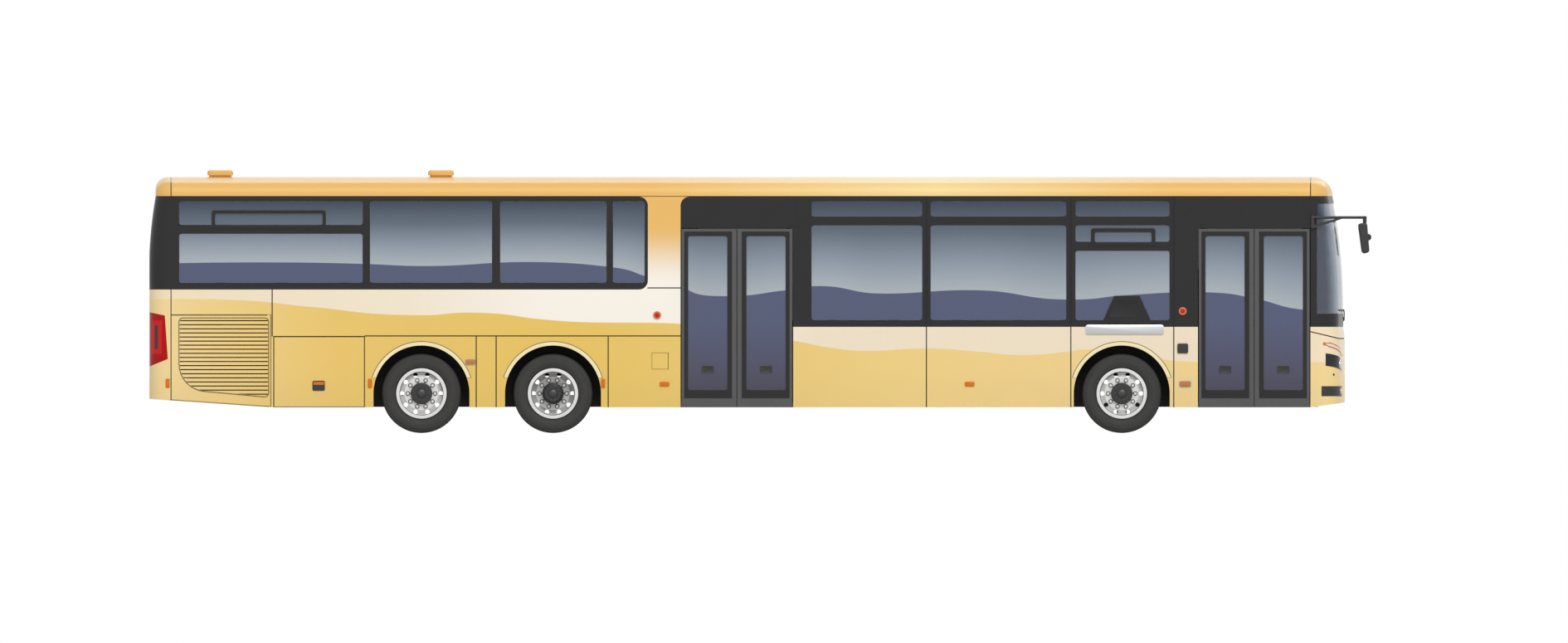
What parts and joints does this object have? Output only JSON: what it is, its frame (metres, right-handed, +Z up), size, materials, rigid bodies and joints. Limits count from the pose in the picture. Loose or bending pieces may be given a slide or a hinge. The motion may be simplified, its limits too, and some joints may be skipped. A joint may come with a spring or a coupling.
{
  "type": "low-entry city bus",
  "caption": "Long low-entry city bus with steered front and trailing axles, twin drive wheels, double swing-out doors, tinted window bands and hinged service lids.",
  "frame": {"origin": "on the ground under the middle of the bus, mirrors included", "axes": "+X forward, +Y to the left, +Z up; the doors are on -Y"},
  "size_m": [14.9659, 2.8, 3.2189],
  "materials": {
    "body_paint": "gloss two-tone coach paint",
    "roof_paint": "gloss coach paint",
    "black_panel": "gloss black panel",
    "glass": "tinted safety glass",
    "door_frame": "satin black powder coat",
    "tyre": "matte rubber",
    "rim": "silver wheel paint",
    "chassis": "black chassis paint",
    "cast": "painted casting",
    "floor_cover": "anti-slip floor covering",
    "liner": "black moulded liner",
    "seat": "blue seat cloth",
    "trim_grey": "grey moulded trim",
    "pole": "brushed stainless",
    "lamp": "clear lamp cover over a dark housing",
    "lamp_red": "red lamp cover",
    "lamp_orange": "orange lamp cover",
    "mirror_housing": "black mirror housing"
  },
  "bodies": {
    "body": {"door_drives": "trim_grey", "drive_axle": "chassis", "driver_station": "trim_grey", "engine": "cast", "floor": "floor_cover", "front_axle": "chassis", "front_mask": "body_paint", "grab_poles": "pole", "headlamps": "lamp", "mirrors": "mirror_housing", "rear_frame": "black_panel", "rear_shell": "body_paint", "rear_window": "glass", "roof": "roof_paint", "roof_caps": "roof_paint", "roof_vents": "trim_grey", "seats": "seat", "side_glass": "glass", "side_markers": "lamp_orange", "side_wall_left": "body_paint", "side_wall_right": "body_paint", "tag_axle": "chassis", "tail_lamps": "lamp_red", "underframe": "chassis", "wheel_arch_liners": "liner", "window_bands": "black_panel", "windscreen": "glass", "windscreen_frame": "black_panel"},
    "knuckle_front_left": {"knuckle_front_left": "cast"},
    "knuckle_front_right": {"knuckle_front_right": "cast"},
    "knuckle_tag_left": {"knuckle_tag_left": "cast"},
    "knuckle_tag_right": {"knuckle_tag_right": "cast"},
    "wheel_front_left": {"tyre_front_left": "tyre", "rim_front_left": "rim"},
    "wheel_front_right": {"tyre_front_right": "tyre", "rim_front_right": "rim"},
    "wheel_drive_left": {"tyre_drive_left": "tyre", "rim_drive_left": "rim"},
    "wheel_drive_right": {"tyre_drive_right": "tyre", "rim_drive_right": "rim"},
    "wheel_tag_left": {"tyre_tag_left": "tyre", "rim_tag_left": "rim"},
    "wheel_tag_right": {"tyre_tag_right": "tyre", "rim_tag_right": "rim"},
    "door_arm_mid_rear": {"door_arm_mid_rear": "chassis"},
    "door_leaf_mid_rear": {"door_leaf_mid_rear": "door_frame", "door_glass_mid_rear": "glass"},
    "door_arm_mid_front": {"door_arm_mid_front": "chassis"},
    "door_leaf_mid_front": {"door_leaf_mid_front": "door_frame", "door_glass_mid_front": "glass"},
    "door_arm_front_rear": {"door_arm_front_rear": "chassis"},
    "door_leaf_front_rear": {"door_leaf_front_rear": "door_frame", "door_glass_front_rear": "glass"},
    "door_arm_front_front": {"door_arm_front_front": "chassis"},
    "door_leaf_front_front": {"door_leaf_front_front": "door_frame", "door_glass_front_front": "glass"},
    "engine_lid": {"engine_lid": "body_paint"},
    "radiator_flap": {"radiator_flap": "body_paint"},
    "service_flap": {"service_flap": "body_paint"},
    "filler_flap": {"filler_flap": "body_paint"}
  },
  "joints": [
    {"name": "steer_front_left", "type": "hinge", "parent": "body", "child": "knuckle_front_left", "pos_m": [4.425, 0.96, 0.485], "axis": [0, 0, 1], "range_deg": [-42, 42]},
    {"name": "steer_front_right", "type": "hinge", "parent": "body", "child": "knuckle_front_right", "pos_m": [4.425, -0.96, 0.485], "axis": [0, 0, 1], "range_deg": [-42, 42]},
    {"name": "steer_tag_left", "type": "hinge", "parent": "body", "child": "knuckle_tag_left", "pos_m": [-4.151, 0.96, 0.485], "axis": [0, 0, 1], "range_deg": [-13, 13]},
    {"name": "steer_tag_right", "type": "hinge", "parent": "body", "child": "knuckle_tag_right", "pos_m": [-4.151, -0.96, 0.485], "axis": [0, 0, 1], "range_deg": [-13, 13]},
    {"name": "roll_front_left", "type": "hinge", "parent": "knuckle_front_left", "child": "wheel_front_left", "pos_m": [4.425, 1.085, 0.485], "axis": [0, 1, 0], "continuous": true},
    {"name": "roll_front_right", "type": "hinge", "parent": "knuckle_front_right", "child": "wheel_front_right", "pos_m": [4.425, -1.085, 0.485], "axis": [0, 1, 0], "continuous": true},
    {"name": "roll_drive_left", "type": "hinge", "parent": "body", "child": "wheel_drive_left", "pos_m": [-2.54, 1.085, 0.485], "axis": [0, 1, 0], "continuous": true},
    {"name": "roll_drive_right", "type": "hinge", "parent": "body", "child": "wheel_drive_right", "pos_m": [-2.54, -1.085, 0.485], "axis": [0, 1, 0], "continuous": true},
    {"name": "roll_tag_left", "type": "hinge", "parent": "knuckle_tag_left", "child": "wheel_tag_left", "pos_m": [-4.151, 1.085, 0.485], "axis": [0, 1, 0], "continuous": true},
    {"name": "roll_tag_right", "type": "hinge", "parent": "knuckle_tag_right", "child": "wheel_tag_right", "pos_m": [-4.151, -1.085, 0.485], "axis": [0, 1, 0], "continuous": true},
    {"name": "swing_mid_rear", "type": "hinge", "parent": "body", "child": "door_arm_mid_rear", "pos_m": [-0.918, -1.188, 1.4], "axis": [0, 0, -1], "range_deg": [0, 150]},
    {"name": "glide_mid_rear", "type": "hinge", "parent": "door_arm_mid_rear", "child": "door_leaf_mid_rear", "pos_m": [-0.583, -1.168, 1.4], "axis": [0, 0, -1], "range_deg": [-150, 0]},
    {"name": "swing_mid_front", "type": "hinge", "parent": "body", "child": "door_arm_mid_front", "pos_m": [0.342, -1.188, 1.4], "axis": [0, 0, 1], "range_deg": [0, 150]},
    {"name": "glide_mid_front", "type": "hinge", "parent": "door_arm_mid_front", "child": "door_leaf_mid_front", "pos_m": [0.007, -1.168, 1.4], "axis": [0, 0, 1], "range_deg": [-150, 0]},
    {"name": "swing_front_rear", "type": "hinge", "parent": "body", "child": "door_arm_front_rear", "pos_m": [5.417, -1.188, 1.4], "axis": [0, 0, -1], "range_deg": [0, 150]},
    {"name": "glide_front_rear", "type": "hinge", "parent": "door_arm_front_rear", "child": "door_leaf_front_rear", "pos_m": [5.752, -1.168, 1.4], "axis": [0, 0, -1], "range_deg": [-150, 0]},
    {"name": "swing_front_front", "type": "hinge", "parent": "body", "child": "door_arm_front_front", "pos_m": [6.677, -1.188, 1.4], "axis": [0, 0, 1], "range_deg": [0, 150]},
    {"name": "glide_front_front", "type": "hinge", "parent": "door_arm_front_front", "child": "door_leaf_front_front", "pos_m": [6.342, -1.168, 1.4], "axis": [0, 0, 1], "range_deg": [-150, 0]},
    {"name": "open_engine_lid", "type": "hinge", "parent": "body", "child": "engine_lid", "pos_m": [-7.468, 0, 1.52], "axis": [0, -1, 0], "range_deg": [-85, 0]},
    {"name": "open_radiator_flap", "type": "hinge", "parent": "body", "child": "radiator_flap", "pos_m": [-6.011, -1.26, 0.9], "axis": [0, 0, -1], "range_deg": [-90, 0]},
    {"name": "open_service_flap", "type": "hinge", "parent": "body", "child": "service_flap", "pos_m": [-5.41, -1.26, 1.169], "axis": [1, 0, 0], "range_deg": [-90, 0]},
    {"name": "open_filler_flap", "type": "hinge", "parent": "body", "child": "filler_flap", "pos_m": [-1.1405, -1.265, 0.883], "axis": [0, 0, -1], "range_deg": [-100, 0]}
  ],
  "couplings": [
    {"joint": "steer_front_right", "follows": "steer_front_left", "ratio": 1},
    {"joint": "steer_tag_left", "follows": "steer_front_left", "ratio": -0.3},
    {"joint": "steer_tag_right", "follows": "steer_front_left", "ratio": -0.3},
    {"joint": "glide_mid_rear", "follows": "swing_mid_rear", "ratio": -1},
    {"joint": "glide_mid_front", "follows": "swing_mid_front", "ratio": -1},
    {"joint": "glide_front_rear", "follows": "swing_front_rear", "ratio": -1},
    {"joint": "glide_front_front", "follows": "swing_front_front", "ratio": -1}
  ]
}
